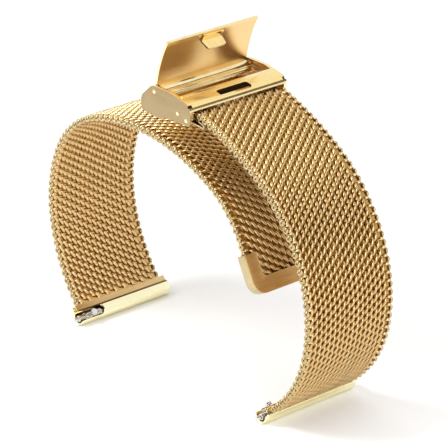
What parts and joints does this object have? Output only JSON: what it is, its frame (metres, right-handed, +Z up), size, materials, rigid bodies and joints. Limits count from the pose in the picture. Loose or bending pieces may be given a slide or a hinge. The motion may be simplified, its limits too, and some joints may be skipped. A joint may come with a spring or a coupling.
{
  "type": "milanese mesh watch band",
  "caption": "Milanese mesh watch band with a folding lid clasp, a capped tail and quick-release spring bars, standing open as an arch.",
  "frame": {"origin": "under the middle of the arch, at the height of the surface it stands on", "axes": "+X from the long piece's tube to the short piece's tube, +Y across the band away from the release ends of the spring bars, +Z up"},
  "size_m": [0.0734, 0.0236, 0.0643],
  "materials": {
    "gold_mesh": "satin",
    "gold_polished": "polished",
    "gold_satin": "satin",
    "gold_brushed": "brushed",
    "spring_bar_steel": "satin"
  },
  "bodies": {
    "clasp": {"clasp_frame": "gold_brushed", "hinge_pin": "gold_brushed", "guide_pin": "gold_brushed", "strap_pin": "gold_brushed"},
    "lid": {"lid": "gold_polished", "lid_catch": "gold_polished"},
    "short_1": {"short_mesh_1": "gold_mesh", "strap_end_loop": "gold_brushed"},
    "short_2": {"short_mesh_2": "gold_mesh"},
    "short_3": {"short_mesh_3": "gold_mesh"},
    "short_4": {"short_mesh_4": "gold_mesh", "short_lug_tube": "gold_satin", "short_bar_barrel": "spring_bar_steel", "short_bar_fixed_tip": "spring_bar_steel", "short_bar_spring": "spring_bar_steel"},
    "short_release": {"short_bar_release_pin": "spring_bar_steel"},
    "long_1": {"long_mesh_1": "gold_mesh", "long_lug_tube": "gold_satin", "long_bar_barrel": "spring_bar_steel", "long_bar_fixed_tip": "spring_bar_steel", "long_bar_spring": "spring_bar_steel"},
    "long_2": {"long_mesh_2": "gold_mesh"},
    "long_3": {"long_mesh_3": "gold_mesh"},
    "long_4": {"long_mesh_4": "gold_mesh"},
    "long_5": {"long_mesh_5": "gold_mesh"},
    "long_6": {"long_mesh_6": "gold_mesh", "tail_cap": "gold_satin"},
    "long_release": {"long_bar_release_pin": "spring_bar_steel"}
  },
  "joints": [
    {"name": "lid_hinge", "type": "hinge", "parent": "clasp", "child": "lid", "pos_m": [-0.00307, 0, 0.05443], "axis": [0, 1, 0], "range_deg": [-25, 70.6]},
    {"name": "strap_pivot", "type": "hinge", "parent": "clasp", "child": "short_1", "pos_m": [0.00562, 0, 0.05153], "axis": [0, -1, 0], "range_deg": [-15, 11]},
    {"name": "short_flex_1", "type": "hinge", "parent": "short_1", "child": "short_2", "pos_m": [0.02257, 0, 0.04566], "axis": [0, -1, 0], "range_deg": [-10, 20]},
    {"name": "short_flex_2", "type": "hinge", "parent": "short_2", "child": "short_3", "pos_m": [0.03334, 0, 0.03343], "axis": [0, -1, 0], "range_deg": [-12, 25]},
    {"name": "short_flex_3", "type": "hinge", "parent": "short_3", "child": "short_4", "pos_m": [0.03559, 0, 0.01734], "axis": [0, -1, 0], "range_deg": [-15, 25]},
    {"name": "strap_slide", "type": "slide", "parent": "clasp", "child": "long_4", "axis": [1, 0, 0], "range_m": [-0.01, 0.007]},
    {"name": "long_flex_3", "type": "hinge", "parent": "long_4", "child": "long_3", "pos_m": [-0.02138, 0, 0.04347], "axis": [0, -1, 0], "range_deg": [-15, 20]},
    {"name": "long_flex_2", "type": "hinge", "parent": "long_3", "child": "long_2", "pos_m": [-0.03361, 0, 0.03315], "axis": [0, -1, 0], "range_deg": [-20, 25]},
    {"name": "long_flex_1", "type": "hinge", "parent": "long_2", "child": "long_1", "pos_m": [-0.03543, 0, 0.01702], "axis": [0, -1, 0], "range_deg": [-20, 25]},
    {"name": "long_flex_4", "type": "hinge", "parent": "long_4", "child": "long_5", "pos_m": [-0.00506, 0, 0.04498], "axis": [0, 1, 0], "range_deg": [-10, 25]},
    {"name": "long_flex_5", "type": "hinge", "parent": "long_5", "child": "long_6", "pos_m": [0.01061, 0, 0.04015], "axis": [0, 1, 0], "range_deg": [-12, 30]},
    {"name": "short_bar_release", "type": "slide", "parent": "short_4", "child": "short_release", "axis": [0, 1, 0], "range_m": [0, 0.0012], "stiffness_N_per_m": 100, "springref_m": -0.002},
    {"name": "long_bar_release", "type": "slide", "parent": "long_1", "child": "long_release", "axis": [0, 1, 0], "range_m": [0, 0.0012], "stiffness_N_per_m": 100, "springref_m": -0.002}
  ]
}
